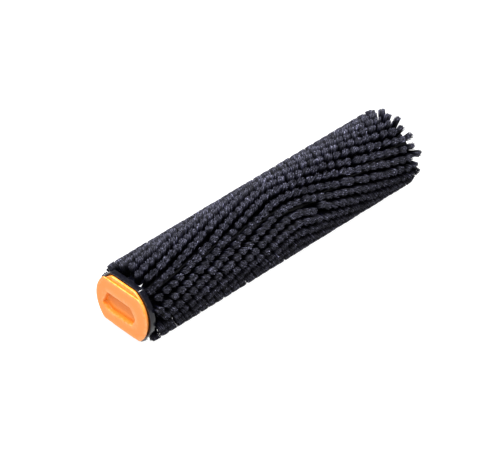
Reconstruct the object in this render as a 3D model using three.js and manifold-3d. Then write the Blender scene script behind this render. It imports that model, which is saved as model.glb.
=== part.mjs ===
// Roller brush of a walk-behind floor scrubber, with the end cap that carries its bearing.
// Millimetres, +Z up. The spin axis is X: the end cap is at -X and the drive socket at +X.
// The origin is on the spin axis, halfway between the cap's face and the drive hub's face.
import * as THREE from 'three';
import { mergeVertices } from 'three/addons/utils/BufferGeometryUtils.js';
import Module from 'manifold-3d';

const wasm = await Module();
wasm.setup();

// Overall sizes
const TOTAL_LENGTH = 413.6;
const CAP_FACE_X = -TOTAL_LENGTH / 2;
const HUB_FACE_X = TOTAL_LENGTH / 2;
const TIP_RADIUS = 48;
const CORE_RADIUS = 30;
const CORE_BORE_RADIUS = 20;
const FIT_GAP = 0.3;
const RUNNING_GAP = 0.5;
const CUT_PAST = 1; // how far a cutting or joining solid runs past the face it meets

// End cap, from its face inwards
const PLATE_RADIUS = 40;
const PLATE_FLAT = 28.5;
const PLATE_THICK = 1.7;
const GROOVE_WIDTH = 1.2;
const GROOVE_DEPTH = 4.5;
const FLANGE_RADIUS = 37.5;
const FLANGE_FLAT = 32.8;
const FLANGE_THICK = 2.7;
const CAP_REAR_X = CAP_FACE_X + PLATE_THICK + GROOVE_WIDTH + FLANGE_THICK;
const CAP_WALL = 1.6;
const POCKET_OUTLINE = [[-14, 10], [-22, -1.5], [-16, -13.5], [20.5, -14.8], [30, -8], [22, 10]];
const POCKET_LEDGE_DEPTH = 5.2;
const POCKET_FLOOR_TILT = THREE.MathUtils.degToRad(16);
const POCKET_TILT_Z = -9;
const POCKET_DEEP_RADIUS = 25.4;
const BOSS_RADIUS = 11;
const BOSS_END_X = CAP_FACE_X + 20.9;

// Shroud behind the cap, which covers the running gap
const SHROUD_RADIUS = 40.7;
const SHROUD_FLAT = 34.6;
const SHROUD_BORE_RADIUS = 33.2;
const SHROUD_START_X = CAP_REAR_X + FIT_GAP;
const SHROUD_LENGTH = 6.7;

// Bearing and what holds it
const BEARING_FRONT_X = CAP_FACE_X + 22.6;
const BEARING_WIDTH = 9;
const BEARING_MID_X = BEARING_FRONT_X + BEARING_WIDTH / 2;
const BEARING_BACK_X = BEARING_FRONT_X + BEARING_WIDTH;
const BEARING_BORE_RADIUS = 7.8;
const BEARING_OUTER_RADIUS = 16;
const PITCH_RADIUS = 11.75;
const BALL_RADIUS = 2.2;
const BALL_COUNT = 9;
const RACE_RADIUS = BALL_RADIUS + 0.3;
const PIN_RADIUS = 7.5;
const PIN_START_X = CAP_FACE_X + 12.5;
const PIN_END_X = BEARING_BACK_X + 3.6;
const PIN_CHAMFER = 0.8;
const WASHER_RADIUS = 9.6;
const WASHER_THICK = 1.1;
const SHIELD_THICK = 0.9;
const SHIELD_INNER_RADIUS = 10.6;
const SHIELD_OUTER_RADIUS = 13;
const CAGE_FRONT_X = BEARING_MID_X - 0.6;
const CAGE_LENGTH = 3.4;
const CAGE_HALF_WALL = 0.9;
const CAGE_BALL_GAP = 0.25;
const SEAL_FRONT_X = CAP_FACE_X + 13.5;
const SEAL_WIDTH = 6.8;
const SEAL_WALL = 1.6;
const SEAL_WEB_THICK = 2.2;
const SEAL_LIP_START = 4.6;
const SEAL_LIP_END = 5.2;
const SEAL_LIP_THICK = 0.9;

// Retaining rings, flat and cut from spring steel, and their grooves
const RETAINING_RING_THICK = 1;
const PIN_RING_RADII = [7, 9.8];
const PIN_RING_GAP_ANGLE = 1;
const PIN_GROOVE_DEPTH = 0.7;
const PIN_GROOVE_WIDTH = 1.4;
const HOUSING_RING_RADII = [13.8, 17];
const HOUSING_RING_GAP_ANGLE = 0.7;
const HOUSING_GROOVE_DEPTH = 1.1;
const HOUSING_GROOVE_WIDTH = 1.6;

// Bearing housing
const NECK_START_X = CAP_FACE_X + 7.4;
const RECESS_RADIUS = 27.6;
const RECESS_END_X = CAP_FACE_X + 13;
const NECK_END_X = CAP_FACE_X + 15.6;
const SPIGOT_RADIUS = CORE_BORE_RADIUS - FIT_GAP;
const SPIGOT_END_X = BEARING_BACK_X + 6;
const BEARING_SHOULDER = 2.7;

// Core and drive hub
const CORE_START_X = NECK_END_X + FIT_GAP;
const HUB_FLANGE_THICK = 2.1;
const CORE_END_X = HUB_FACE_X - HUB_FLANGE_THICK - FIT_GAP;
const HUB_SPIGOT_LENGTH = 26;
const SOCKET_ACROSS_FLATS = 24;
const SOCKET_DEPTH = 22;
const SOCKET_MOUTH_DEPTH = 2.4;
const SOCKET_MOUTH_SLOPE = 1;
const HUB_CHAMFER = 0.8;
const KEY_COUNT = 4;
const KEY_WIDTH = 8;
const KEY_REACH = 3.5;
const KEY_RADIUS = 23.5;
const RING_SECTION_RADIUS = 0.95;
const RING_GROOVE_WIDTH = 2.4;
const RING_GROOVE_DEPTH = 2.1;
const RING_GROOVE_INSET = 2; // from a spigot's end to its groove

// Bristle rows: the chevron's centre line and a row's section
const ROW_COUNT = 24;
const ROW_STATIONS = 22;
const ROW_START_ANGLE = THREE.MathUtils.degToRad(13.56);
const ROW_SWEEP = THREE.MathUtils.degToRad(64);
const ROW_APEX_X = 11.8;
const HALF_WAVE_CAP_SIDE = 215;
const HALF_WAVE_HUB_SIDE = 191;
const CHEVRON_SHARPNESS = 0.97;
const BRUSH_MID_X = CAP_FACE_X + 213.6;
const ROW_BASE_WIDTH = 4.2;
const ROW_TIP_WIDTH = 6.6;
const ROW_BASE_HALF_LENGTH = 195.8;
const ROW_TIP_HALF_LENGTH = 199.6;
const TUFT_HALF_PITCH = 5.1;

// Facets around: visible rounds, small rounds
const SEGMENTS = 40;
const SMALL_SEGMENTS = 28;

const finishes = {
  orangePlastic: { color: 0xf07818, roughness: 0.42, metalness: 0 },
  blackPlastic: { color: 0x111216, roughness: 0.2, metalness: 0 },
  bristle: { color: 0x1d1d21, roughness: 0.6, metalness: 0 },
  steel: { color: 0x9a9da1, roughness: 0.3, metalness: 1 },
  rubber: { color: 0x141414, roughness: 0.75, metalness: 0 },
  cagePlastic: { color: 0x2a2622, roughness: 0.5, metalness: 0 },
};

const brush = new THREE.Group();

function addPart(name, geometry, finish) {
  const mesh = new THREE.Mesh(geometry, new THREE.MeshStandardMaterial(finishes[finish]));
  mesh.name = name;
  brush.add(mesh);
  return mesh;
}

// A closed mesh as a manifold solid, for cutting and joining.
function toSolid(geometry) {
  const bare = new THREE.BufferGeometry();
  bare.setAttribute('position', geometry.getAttribute('position'));
  bare.setIndex(geometry.getIndex());
  const merged = mergeVertices(bare, 1e-4);
  return new wasm.Manifold(new wasm.Mesh({
    numProp: 3,
    vertProperties: new Float32Array(merged.getAttribute('position').array),
    triVerts: new Uint32Array(merged.getIndex().array),
  }));
}

function toGeometry(solid) {
  const mesh = solid.getMesh();
  const geometry = new THREE.BufferGeometry();
  geometry.setAttribute('position', new THREE.BufferAttribute(mesh.vertProperties, 3));
  geometry.setIndex(new THREE.BufferAttribute(mesh.triVerts, 1));
  geometry.computeVertexNormals();
  return geometry;
}

// Turns a closed profile of [x, radius] points about the X axis. The profile runs towards +X
// on its outside and back towards -X on its inside, and is closed here.
function turned(profile, segments) {
  const points = [...profile, profile[0]].map(([x, radius]) => new THREE.Vector2(radius, x));
  return new THREE.LatheGeometry(points, segments).rotateZ(-Math.PI / 2);
}

// Turns a profile of [x, radius] points that starts and ends on the axis.
function turnedSolid(profile, segments) {
  const points = profile.map(([x, radius]) => new THREE.Vector2(radius, x));
  return new THREE.LatheGeometry(points, segments).rotateZ(-Math.PI / 2);
}

// Extrudes a shape drawn in Y and Z from startX to endX.
function extrudedAlongX(shape, startX, endX, curveSegments) {
  const depth = endX - startX;
  const geometry = new THREE.ExtrudeGeometry(shape, { depth, bevelEnabled: false, curveSegments });
  const toYZ = new THREE.Matrix4().makeBasis(
    new THREE.Vector3(0, 1, 0),
    new THREE.Vector3(0, 0, 1),
    new THREE.Vector3(1, 0, 0),
  );
  return geometry.applyMatrix4(toYZ).translate(startX, 0, 0);
}

// A disc with two parallel flats at z = +flat and z = -flat.
function flattedDisc(radius, flat) {
  const corner = Math.asin(flat / radius);
  const shape = new THREE.Shape();
  shape.absarc(0, 0, radius, -corner, corner, false);
  shape.absarc(0, 0, radius, Math.PI - corner, Math.PI + corner, false);
  shape.closePath();
  return shape;
}

function polygon(points) {
  return new THREE.Shape(points.map(([y, z]) => new THREE.Vector2(y, z)));
}

// The pocket's outline grown outwards by a wall thickness, about its middle.
function grownOutline(wall) {
  const box = new THREE.Box2().setFromPoints(POCKET_OUTLINE.map(([y, z]) => new THREE.Vector2(y, z)));
  const middle = box.getCenter(new THREE.Vector2());
  const half = box.getSize(new THREE.Vector2()).multiplyScalar(0.5);
  return POCKET_OUTLINE.map(([y, z]) => [
    middle.x + (y - middle.x) * (1 + wall / half.x),
    middle.y + (z - middle.y) * (1 + wall / half.y),
  ]);
}

// The space of the finger pocket, grown by a wall: a shallow ledge all over, and inside
// the deep radius a floor that tilts away from the face towards the top edge.
function pocketBody(wall) {
  const outline = polygon(grownOutline(wall));
  const ledgeX = CAP_FACE_X + POCKET_LEDGE_DEPTH + wall;
  const shallow = toSolid(extrudedAlongX(outline, CAP_FACE_X - CUT_PAST, ledgeX, 1));
  const reach = 60;
  const deepestX = ledgeX + 20;
  const behindFloor = new THREE.BoxGeometry(reach, reach * 2, reach * 2)
    .translate(reach / 2, 0, 0)
    .rotateY(POCKET_FLOOR_TILT)
    .translate(ledgeX, 0, POCKET_TILT_Z);
  const deepDisc = new THREE.Shape().absarc(0, 0, POCKET_DEEP_RADIUS + wall, 0, 2 * Math.PI, false);
  const disc = extrudedAlongX(deepDisc, CAP_FACE_X - 2 * CUT_PAST, deepestX + CUT_PAST, SEGMENTS / 2);
  const deep = toSolid(extrudedAlongX(outline, CAP_FACE_X - CUT_PAST, deepestX, 1))
    .intersect(toSolid(disc))
    .subtract(toSolid(behindFloor));
  return shallow.add(deep);
}

// End cap: flatted face plate, groove, flatted flange, pocket tub and the boss for the pin.
function endCap() {
  const plateBack = CAP_FACE_X + PLATE_THICK;
  const flangeFront = plateBack + GROOVE_WIDTH;
  const plate = flattedDisc(PLATE_RADIUS, PLATE_FLAT);
  const neck = flattedDisc(PLATE_RADIUS - GROOVE_DEPTH, PLATE_FLAT - GROOVE_DEPTH);
  const flange = flattedDisc(FLANGE_RADIUS, FLANGE_FLAT);
  const boss = turnedSolid([
    [CAP_REAR_X - CUT_PAST, 0],
    [CAP_REAR_X - CUT_PAST, BOSS_RADIUS],
    [BOSS_END_X, BOSS_RADIUS],
    [BOSS_END_X, 0],
  ], SMALL_SEGMENTS);
  const pinHole = turnedSolid([
    [PIN_START_X - FIT_GAP, 0],
    [PIN_START_X - FIT_GAP, PIN_RADIUS + FIT_GAP],
    [BOSS_END_X + CUT_PAST, PIN_RADIUS + FIT_GAP],
    [BOSS_END_X + CUT_PAST, 0],
  ], SMALL_SEGMENTS);
  const reach = 200;
  const aheadOfTub = new THREE.BoxGeometry(reach, reach, reach)
    .translate(CAP_REAR_X - CUT_PAST - reach / 2, 0, 0);
  const tub = pocketBody(CAP_WALL).subtract(toSolid(aheadOfTub));
  const cap = toSolid(extrudedAlongX(plate, CAP_FACE_X, plateBack, SEGMENTS / 4))
    .add(toSolid(extrudedAlongX(neck, plateBack - CUT_PAST, flangeFront + CUT_PAST, SEGMENTS / 4)))
    .add(toSolid(extrudedAlongX(flange, flangeFront, CAP_REAR_X, SEGMENTS / 4)))
    .add(tub)
    .add(toSolid(boss))
    .subtract(pocketBody(0))
    .subtract(toSolid(pinHole));
  return toGeometry(cap);
}

// Shroud: a flatted ring round the turning neck.
function capShroud() {
  const outline = flattedDisc(SHROUD_RADIUS, SHROUD_FLAT);
  const bore = new THREE.Path().absarc(0, 0, SHROUD_BORE_RADIUS, 0, 2 * Math.PI, true);
  outline.holes.push(bore);
  return extrudedAlongX(outline, SHROUD_START_X, SHROUD_START_X + SHROUD_LENGTH, SEGMENTS / 4);
}

// Journal pin with a chamfered end and the groove for its retaining ring.
function journalPin() {
  const grooveX = BEARING_BACK_X + FIT_GAP;
  return turnedSolid([
    [PIN_START_X, 0],
    [PIN_START_X, PIN_RADIUS],
    [grooveX, PIN_RADIUS],
    [grooveX, PIN_RADIUS - PIN_GROOVE_DEPTH],
    [grooveX + PIN_GROOVE_WIDTH, PIN_RADIUS - PIN_GROOVE_DEPTH],
    [grooveX + PIN_GROOVE_WIDTH, PIN_RADIUS],
    [PIN_END_X - PIN_CHAMFER, PIN_RADIUS],
    [PIN_END_X, PIN_RADIUS - PIN_CHAMFER],
    [PIN_END_X, 0],
  ], SMALL_SEGMENTS);
}

// A ring of rectangular section.
function plainRing(startX, width, innerRadius, outerRadius) {
  return turned([
    [startX, outerRadius],
    [startX + width, outerRadius],
    [startX + width, innerRadius],
    [startX, innerRadius],
  ], SMALL_SEGMENTS);
}

// A flat retaining ring with a gap.
function retainingRing(startX, [innerRadius, outerRadius], gapAngle) {
  const shape = new THREE.Shape();
  shape.absarc(0, 0, outerRadius, gapAngle / 2, 2 * Math.PI - gapAngle / 2, false);
  shape.absarc(0, 0, innerRadius, 2 * Math.PI - gapAngle / 2, gapAngle / 2, true);
  shape.closePath();
  return extrudedAlongX(shape, startX, startX + RETAINING_RING_THICK, SMALL_SEGMENTS / 2);
}

// Points of the ball groove's section, from +X to -X at a side of the pitch circle.
function racePoints(side) {
  const steps = 4;
  const halfAngle = THREE.MathUtils.degToRad(50);
  return Array.from({ length: steps + 1 }, (_, i) => {
    const angle = halfAngle - (2 * halfAngle * i) / steps;
    return [
      BEARING_MID_X + RACE_RADIUS * Math.sin(angle),
      PITCH_RADIUS + side * RACE_RADIUS * Math.cos(angle),
    ];
  });
}

function bearingInnerRing() {
  const shoulder = racePoints(-1)[0][1];
  return turned([
    [BEARING_FRONT_X, shoulder],
    ...racePoints(-1).reverse(),
    [BEARING_BACK_X, shoulder],
    [BEARING_BACK_X, BEARING_BORE_RADIUS],
    [BEARING_FRONT_X, BEARING_BORE_RADIUS],
  ], SMALL_SEGMENTS);
}

function bearingOuterRing() {
  const shoulder = racePoints(1)[0][1];
  return turned([
    [BEARING_FRONT_X, BEARING_OUTER_RADIUS],
    [BEARING_BACK_X, BEARING_OUTER_RADIUS],
    [BEARING_BACK_X, shoulder],
    ...racePoints(1),
    [BEARING_FRONT_X, shoulder],
  ], SMALL_SEGMENTS);
}

function ballGeometry(radius) {
  return new THREE.SphereGeometry(radius, 10, 6);
}

function ballPlace(index) {
  const angle = (2 * Math.PI * index) / BALL_COUNT;
  return [BEARING_MID_X, PITCH_RADIUS * Math.cos(angle), PITCH_RADIUS * Math.sin(angle)];
}

// Crown cage: a ring on the hub side of the balls, with a round pocket for each.
function ballCage() {
  const inside = PITCH_RADIUS - CAGE_HALF_WALL;
  const outside = PITCH_RADIUS + CAGE_HALF_WALL;
  const ring = toSolid(plainRing(CAGE_FRONT_X, CAGE_LENGTH, inside, outside));
  const pockets = Array.from({ length: BALL_COUNT }, (_, i) => toSolid(
    ballGeometry(BALL_RADIUS + CAGE_BALL_GAP).translate(...ballPlace(i)),
  ));
  return toGeometry(pockets.reduce((cage, pocket) => cage.subtract(pocket), ring));
}

// Bearing housing: the recessed neck, and the spigot that holds the bearing in the core.
function bearingHousing() {
  const seat = BEARING_OUTER_RADIUS + FIT_GAP;
  const ringGrooveX = SEAL_FRONT_X + SEAL_WIDTH + FIT_GAP;
  const shoulderX = BEARING_BACK_X + FIT_GAP;
  const sealGrooveEndX = SPIGOT_END_X - RING_GROOVE_INSET;
  const sealGrooveX = sealGrooveEndX - RING_GROOVE_WIDTH;
  return turned([
    [NECK_START_X, CORE_RADIUS],
    [NECK_END_X, CORE_RADIUS],
    [NECK_END_X, SPIGOT_RADIUS],
    [sealGrooveX, SPIGOT_RADIUS],
    [sealGrooveX, SPIGOT_RADIUS - RING_GROOVE_DEPTH],
    [sealGrooveEndX, SPIGOT_RADIUS - RING_GROOVE_DEPTH],
    [sealGrooveEndX, SPIGOT_RADIUS],
    [SPIGOT_END_X, SPIGOT_RADIUS],
    [SPIGOT_END_X, seat - BEARING_SHOULDER],
    [shoulderX, seat - BEARING_SHOULDER],
    [shoulderX, seat],
    [ringGrooveX + HOUSING_GROOVE_WIDTH, seat],
    [ringGrooveX + HOUSING_GROOVE_WIDTH, seat + HOUSING_GROOVE_DEPTH],
    [ringGrooveX, seat + HOUSING_GROOVE_DEPTH],
    [ringGrooveX, seat],
    [RECESS_END_X, seat],
    [RECESS_END_X, RECESS_RADIUS],
    [NECK_START_X, RECESS_RADIUS],
  ], SEGMENTS);
}

// Rubber ring of round section, in a groove of a spigot.
function sealRing(middleX) {
  const steps = 6;
  const centre = SPIGOT_RADIUS - RING_SECTION_RADIUS;
  const section = Array.from({ length: steps }, (_, i) => {
    const angle = (2 * Math.PI * i) / steps;
    return [
      middleX - RING_SECTION_RADIUS * Math.cos(angle),
      centre + RING_SECTION_RADIUS * Math.sin(angle),
    ];
  });
  return turned(section, SMALL_SEGMENTS);
}

// Shaft seal: an L section with a lip that leans on the cap's boss.
function shaftSeal() {
  const lip = BOSS_RADIUS + RUNNING_GAP;
  return turned([
    [SEAL_FRONT_X, BEARING_OUTER_RADIUS],
    [SEAL_FRONT_X + SEAL_WIDTH, BEARING_OUTER_RADIUS],
    [SEAL_FRONT_X + SEAL_WIDTH, BEARING_OUTER_RADIUS - SEAL_WALL],
    [SEAL_FRONT_X + SEAL_WEB_THICK, BEARING_OUTER_RADIUS - SEAL_WALL],
    [SEAL_FRONT_X + SEAL_LIP_END, lip + SEAL_LIP_THICK],
    [SEAL_FRONT_X + SEAL_LIP_START, lip],
    [SEAL_FRONT_X, lip + SEAL_LIP_THICK],
  ], SMALL_SEGMENTS);
}

// The four keys that turn the core with the hub, grown by a clearance.
function driveKeys(clearance) {
  const startX = CORE_END_X - KEY_REACH - clearance;
  const endX = CORE_END_X + CUT_PAST;
  const rootRadius = SPIGOT_RADIUS - 2 * CUT_PAST;
  const height = KEY_RADIUS + clearance - rootRadius;
  return Array.from({ length: KEY_COUNT }, (_, i) => toSolid(
    new THREE.BoxGeometry(endX - startX, KEY_WIDTH + 2 * clearance, height)
      .translate((startX + endX) / 2, 0, rootRadius + height / 2)
      .rotateX((2 * Math.PI * i) / KEY_COUNT),
  ));
}

function brushCore() {
  const tube = toSolid(turned([
    [CORE_START_X, CORE_RADIUS],
    [CORE_END_X, CORE_RADIUS],
    [CORE_END_X, CORE_BORE_RADIUS],
    [CORE_START_X, CORE_BORE_RADIUS],
  ], SEGMENTS));
  return toGeometry(driveKeys(FIT_GAP).reduce((core, key) => core.subtract(key), tube));
}

// Drive hub: end flange, spigot with a seal groove, keys, and a hexagonal drive socket.
function driveHub() {
  const flangeX = HUB_FACE_X - HUB_FLANGE_THICK;
  const spigotX = HUB_FACE_X - HUB_SPIGOT_LENGTH;
  const sealGrooveX = spigotX + RING_GROOVE_INSET;
  const sealGrooveEndX = sealGrooveX + RING_GROOVE_WIDTH;
  const body = toSolid(turnedSolid([
    [spigotX, 0],
    [spigotX, SPIGOT_RADIUS],
    [sealGrooveX, SPIGOT_RADIUS],
    [sealGrooveX, SPIGOT_RADIUS - RING_GROOVE_DEPTH],
    [sealGrooveEndX, SPIGOT_RADIUS - RING_GROOVE_DEPTH],
    [sealGrooveEndX, SPIGOT_RADIUS],
    [flangeX, SPIGOT_RADIUS],
    [flangeX, CORE_RADIUS],
    [HUB_FACE_X - HUB_CHAMFER, CORE_RADIUS],
    [HUB_FACE_X, CORE_RADIUS - HUB_CHAMFER],
    [HUB_FACE_X, 0],
  ], SEGMENTS));
  const cornerRadius = SOCKET_ACROSS_FLATS / Math.sqrt(3);
  const hexagon = Array.from({ length: 6 }, (_, i) => [
    cornerRadius * Math.cos((Math.PI * i) / 3),
    cornerRadius * Math.sin((Math.PI * i) / 3),
  ]);
  const floorX = HUB_FACE_X - SOCKET_DEPTH;
  const socket = toSolid(extrudedAlongX(polygon(hexagon), floorX, HUB_FACE_X + CUT_PAST, 1));
  const mouthX = HUB_FACE_X - SOCKET_MOUTH_DEPTH;
  const mouthEndX = HUB_FACE_X + CUT_PAST;
  const mouthRadius = cornerRadius - 2;
  const mouth = toSolid(turnedSolid([
    [mouthX, 0],
    [mouthX, mouthRadius],
    [mouthEndX, mouthRadius + SOCKET_MOUTH_SLOPE * (mouthEndX - mouthX)],
    [mouthEndX, 0],
  ], SMALL_SEGMENTS));
  const keyed = driveKeys(0).reduce((hub, key) => hub.add(key), body);
  return toGeometry(keyed.subtract(socket).subtract(mouth));
}

// Angle of a row's centre line from the top, towards -Y, at x. It is a triangle wave with a
// rounded peak: arcsin of a scaled cosine, with a longer half wave on the cap's side.
function chevronAngle(x) {
  const halfWave = x < ROW_APEX_X ? HALF_WAVE_CAP_SIDE : HALF_WAVE_HUB_SIDE;
  const phase = (Math.PI * (x - ROW_APEX_X)) / halfWave;
  const wave = Math.asin(CHEVRON_SHARPNESS * Math.cos(phase)) / Math.asin(CHEVRON_SHARPNESS);
  return ROW_START_ANGLE - (ROW_SWEEP / 2) * (1 + wave);
}

// One row of bristles as a plain wall, bent from a box along the chevron. It widens from the
// core to the tips and its ends lean outwards. Every second row is half a pitch shorter.
function bristleRow(index) {
  const rootRadius = CORE_RADIUS + FIT_GAP;
  const shorter = (index % 2) * TUFT_HALF_PITCH;
  const geometry = new THREE.BoxGeometry(2, 1, 1, ROW_STATIONS, 1, 1);
  const position = geometry.getAttribute('position');
  for (let i = 0; i < position.count; i += 1) {
    const rise = position.getZ(i) + 0.5;
    const halfLength = THREE.MathUtils.lerp(ROW_BASE_HALF_LENGTH, ROW_TIP_HALF_LENGTH, rise) - shorter;
    const x = BRUSH_MID_X + position.getX(i) * halfLength;
    const width = THREE.MathUtils.lerp(ROW_BASE_WIDTH, ROW_TIP_WIDTH, rise);
    const radius = THREE.MathUtils.lerp(rootRadius, TIP_RADIUS, rise);
    const rowAngle = chevronAngle(x) + (2 * Math.PI * index) / ROW_COUNT;
    const angle = rowAngle - (position.getY(i) * width) / radius;
    position.setXYZ(i, x, -radius * Math.sin(angle), radius * Math.cos(angle));
  }
  geometry.computeVertexNormals();
  return geometry;
}

// The part that stands still while the brush turns
const washerX = BOSS_END_X + FIT_GAP;
addPart('end_cap', endCap(), 'orangePlastic');
addPart('cap_shroud', capShroud(), 'blackPlastic');
addPart('journal_pin', journalPin(), 'steel');
addPart('thrust_washer', plainRing(washerX, WASHER_THICK, BEARING_BORE_RADIUS, WASHER_RADIUS), 'steel');
addPart('bearing_inner_ring', bearingInnerRing(), 'steel');
const pinRing = retainingRing(BEARING_BACK_X + RUNNING_GAP, PIN_RING_RADII, PIN_RING_GAP_ANGLE);
addPart('pin_retaining_ring', pinRing, 'steel');

// Cage and balls, which go round at their own rate
addPart('ball_cage', ballCage(), 'cagePlastic');
for (let i = 0; i < BALL_COUNT; i += 1) {
  const ball = addPart(`bearing_ball_${i + 1}`, ballGeometry(BALL_RADIUS), 'steel');
  ball.position.set(...ballPlace(i));
}

// The turning brush
const shieldInset = 0.1;
const shieldXs = {
  front: BEARING_FRONT_X + shieldInset,
  back: BEARING_BACK_X - shieldInset - SHIELD_THICK,
};
addPart('bearing_outer_ring', bearingOuterRing(), 'steel');
for (const [side, x] of Object.entries(shieldXs)) {
  const shield = plainRing(x, SHIELD_THICK, SHIELD_INNER_RADIUS, SHIELD_OUTER_RADIUS);
  addPart(`bearing_shield_${side}`, shield, 'rubber');
}
const housingRingX = SEAL_FRONT_X + SEAL_WIDTH + 2 * FIT_GAP;
const housingRing = retainingRing(housingRingX, HOUSING_RING_RADII, HOUSING_RING_GAP_ANGLE);
const ringToSpigotEnd = RING_GROOVE_INSET + RING_GROOVE_WIDTH / 2;
addPart('bearing_housing', bearingHousing(), 'blackPlastic');
addPart('housing_retaining_ring', housingRing, 'steel');
addPart('shaft_seal', shaftSeal(), 'rubber');
addPart('housing_seal_ring', sealRing(SPIGOT_END_X - ringToSpigotEnd), 'rubber');
addPart('brush_core', brushCore(), 'blackPlastic');
addPart('drive_hub', driveHub(), 'blackPlastic');
addPart('hub_seal_ring', sealRing(HUB_FACE_X - HUB_SPIGOT_LENGTH + ringToSpigotEnd), 'rubber');
for (let i = 0; i < ROW_COUNT; i += 1) {
  addPart(`bristle_row_${String(i + 1).padStart(2, '0')}`, bristleRow(i), 'bristle');
}

export default brush;
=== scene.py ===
"""Roller brush of a floor scrubber: bristle tufts, core, bearing and end cap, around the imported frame.

Everything is in metres in the frame's own axes: the brush spins about X, the end cap is at -X and the
drive socket at +X. Each new piece is a surface computed on a grid of two parameters.
"""

import math

import bpy
import numpy as np
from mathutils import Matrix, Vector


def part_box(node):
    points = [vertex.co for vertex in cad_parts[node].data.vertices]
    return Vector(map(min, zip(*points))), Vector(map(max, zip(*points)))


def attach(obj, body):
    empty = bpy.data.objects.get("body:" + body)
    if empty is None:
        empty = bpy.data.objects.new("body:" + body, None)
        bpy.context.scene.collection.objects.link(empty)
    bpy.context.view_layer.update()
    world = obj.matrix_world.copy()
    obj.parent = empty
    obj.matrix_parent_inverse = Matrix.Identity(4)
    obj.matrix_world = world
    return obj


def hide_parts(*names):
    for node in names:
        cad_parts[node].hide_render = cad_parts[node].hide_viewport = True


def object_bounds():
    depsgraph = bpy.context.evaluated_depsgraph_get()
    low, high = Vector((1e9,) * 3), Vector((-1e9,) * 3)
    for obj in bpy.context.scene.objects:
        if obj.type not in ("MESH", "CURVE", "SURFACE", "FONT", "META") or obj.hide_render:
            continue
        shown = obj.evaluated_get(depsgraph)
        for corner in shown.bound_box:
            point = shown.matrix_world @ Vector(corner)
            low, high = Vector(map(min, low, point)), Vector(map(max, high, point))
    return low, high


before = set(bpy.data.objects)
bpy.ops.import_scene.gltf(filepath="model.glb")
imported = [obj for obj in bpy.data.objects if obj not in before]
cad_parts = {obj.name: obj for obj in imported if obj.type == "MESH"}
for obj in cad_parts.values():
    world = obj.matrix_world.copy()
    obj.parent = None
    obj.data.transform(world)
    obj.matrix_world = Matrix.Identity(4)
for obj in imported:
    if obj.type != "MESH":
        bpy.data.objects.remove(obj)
CAD_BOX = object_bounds()

bl_info = {
    "name": "Scrubber roller brush",
    "version": (1, 0, 0),
    "blender": (4, 5, 0),
    "location": "View3D > Sidebar > Brush",
    "description": "Builds a tufted roller brush with its bearing cap and a plain studio",
    "category": "Object",
}

MM = 0.001
TURN = 2 * math.pi


# ---------- places taken from the frame

def low_x(node):
    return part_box(node)[0].x


def high_x(node):
    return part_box(node)[1].x


def outer_radius(node):
    """Half the node's height, which is its radius where it is round about the spin axis."""
    low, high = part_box(node)
    return (high.z - low.z) / 2


ROW_NODES = sorted(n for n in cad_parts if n.startswith("bristle_row_"))
BALL_NODES = sorted(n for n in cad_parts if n.startswith("bearing_ball_"))
CAP_FACE_X = low_x("end_cap")
HUB_FACE_X = high_x("drive_hub")
CORE_RADIUS = outer_radius("brush_core")
TIP_RADIUS = CAD_BOX[1].z
BEARING_X = (low_x("bearing_outer_ring") + high_x("bearing_outer_ring")) / 2
BEARING_HALF = (high_x("bearing_outer_ring") - low_x("bearing_outer_ring")) / 2


# ---------- mesh building

def store_mesh(name, replaced, body, slot, surface, smooth=True):
    """Makes one piece, which stands in for the CAD node named replaced.

    surface holds the points as (V, 3), a list of (F, k) face index arrays, and a dict of values on the
    points. If the signed volume, the sum of the triangles' p0 . (p1 x p2) / 6, is negative, every face
    is turned round, so that faces point outwards.
    """
    points, faces, attributes = surface
    points = np.asarray(points, dtype=np.float64).reshape(-1, 3)
    triangles = np.concatenate([f[:, [0, i, i + 1]] for f in faces for i in range(1, f.shape[1] - 1)])
    corners = points[triangles]
    volume = np.einsum("ij,ij->i", corners[:, 0], np.cross(corners[:, 1], corners[:, 2])).sum()
    if volume < 0:
        faces = [f[:, ::-1] for f in faces]
    loops = np.concatenate([f.ravel() for f in faces])
    sizes = np.concatenate([np.full(len(f), f.shape[1]) for f in faces])
    mesh = bpy.data.meshes.new(name)
    mesh.vertices.add(len(points))
    mesh.vertices.foreach_set("co", points.astype(np.float32).ravel())
    mesh.loops.add(len(loops))
    mesh.loops.foreach_set("vertex_index", loops.astype(np.int32))
    mesh.polygons.add(len(sizes))
    mesh.polygons.foreach_set("loop_start", (np.cumsum(sizes) - sizes).astype(np.int32))
    mesh.polygons.foreach_set("use_smooth", np.full(len(sizes), smooth))
    for key, values in attributes.items():
        layer = mesh.attributes.new(key, "FLOAT", "POINT")
        layer.data.foreach_set("value", np.asarray(values, dtype=np.float32).ravel())
    mesh.update(calc_edges=True)
    mesh.validate()
    mesh.materials.append(finish(slot))
    piece = bpy.data.objects.new(name, mesh)
    bpy.context.scene.collection.objects.link(piece)
    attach(piece, body)
    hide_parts(replaced)
    return piece


def loft_faces(rings, around, closed_ends, wrap_rings=False):
    """Index arrays for rings of points joined one to the next.

    Point i of ring r has index r * around + i. With closed_ends two further points, after the last
    ring, are the poles of the first and last ring.
    """
    step = np.arange(around)
    after = (step + 1) % around
    ring = np.arange(rings if wrap_rings else rings - 1)[:, None]
    above = (ring + 1) % rings
    quads = np.stack([ring * around + step, ring * around + after,
                      above * around + after, above * around + step], axis=-1).reshape(-1, 4)
    if not closed_ends:
        return [quads]
    first, last = rings * around, rings * around + 1
    end = (rings - 1) * around
    caps = np.concatenate([
        np.stack([after, step, np.full(around, first)], axis=-1),
        np.stack([end + step, end + after, np.full(around, last)], axis=-1),
    ])
    return [quads, caps]


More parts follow.
